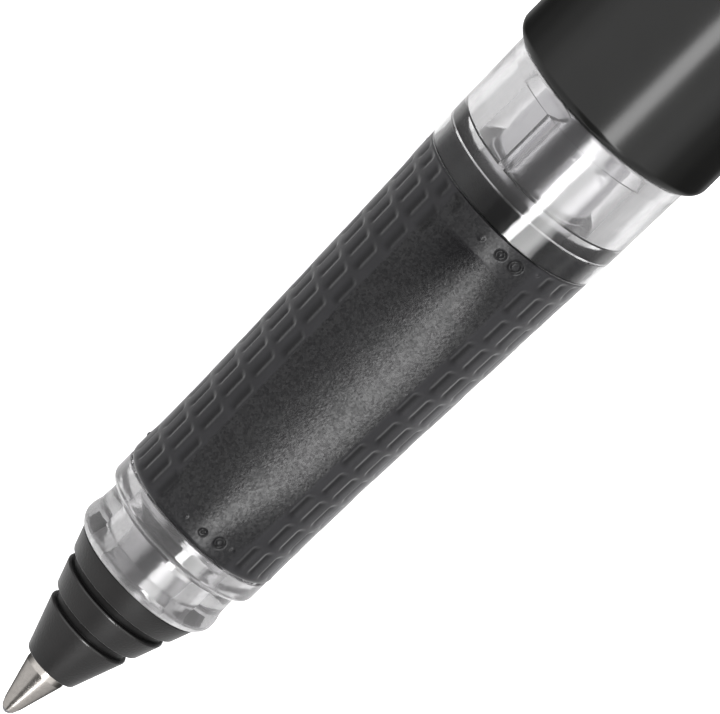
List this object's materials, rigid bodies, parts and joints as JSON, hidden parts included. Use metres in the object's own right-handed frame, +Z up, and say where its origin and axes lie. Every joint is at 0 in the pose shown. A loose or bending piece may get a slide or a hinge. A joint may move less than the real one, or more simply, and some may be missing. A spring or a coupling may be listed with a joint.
{
  "type": "gel pen",
  "caption": "Stick gel pen with a stainless ball point, black nose cone, clear front section, textured rubber grip, black barrel and clip cap posted on the tail.",
  "frame": {"origin": "the writing point: the front of the writing ball, on the pen's axis", "axes": "+X from the writing point to the tail along the pen's axis, +Z up with the pen lying on its barrel and the edge of its clip"},
  "size_m": [0.164, 0.0147, 0.0126],
  "materials": {
    "tungsten_carbide": "polished ball",
    "stainless_steel": "turned",
    "milky_plastic": "smooth, milky",
    "grey_tube": "smooth",
    "black_ink": "gel",
    "clear_grease": "grease",
    "matt_black_plastic": "matt moulded",
    "clear_plastic": "clear moulded",
    "black_rubber": "spark-eroded grain",
    "seal_rubber": "moulded",
    "gloss_black_plastic": "polished",
    "liner_plastic": "smooth"
  },
  "bodies": {
    "barrel": {"barrel": "gloss_black_plastic", "refill_buffer": "seal_rubber", "barrel_tail_plug": "gloss_black_plastic"},
    "refill": {"tip_socket": "stainless_steel", "tip_spring": "stainless_steel", "refill_joiner": "milky_plastic", "refill_tube": "grey_tube", "ink_column": "black_ink", "ink_follower": "clear_grease", "refill_stopper": "milky_plastic"},
    "ball": {"writing_ball": "tungsten_carbide"},
    "section": {"nose_cone": "matt_black_plastic", "front_section": "clear_plastic", "section_seal": "seal_rubber", "rubber_grip": "black_rubber"},
    "cap": {"cap_shell": "gloss_black_plastic", "cap_liner": "liner_plastic", "cap_tip_pad": "seal_rubber", "cap_crown": "gloss_black_plastic"},
    "clip": {"pocket_clip": "gloss_black_plastic"}
  },
  "joints": [
    {"name": "refill_slide", "type": "slide", "parent": "barrel", "child": "refill", "axis": [-1, 0, 0], "range_m": [0, 0.0045]},
    {"name": "section_unscrew", "type": "hinge", "parent": "refill", "child": "section", "pos_m": [0.04375, 0, 0], "axis": [-1, 0, 0], "range_deg": [0, 1080]},
    {"name": "ball_roll", "type": "hinge", "parent": "refill", "child": "ball", "pos_m": [0.00035, 0, 0], "axis": [0, 1, 0], "continuous": true},
    {"name": "cap_slide", "type": "slide", "parent": "barrel", "child": "cap", "axis": [1, 0, 0], "range_m": [0, 0.03]},
    {"name": "clip_flex", "type": "hinge", "parent": "cap", "child": "clip", "pos_m": [0.15742, 0.00539, -0.00333], "axis": [0, -0.5255, -0.8508], "range_deg": [0, 4], "stiffness_Nm_per_rad": 0.9}
  ],
  "couplings": [
    {"joint": "section_unscrew", "follows": "refill_slide", "rad_per_m": 4188.8}
  ]
}
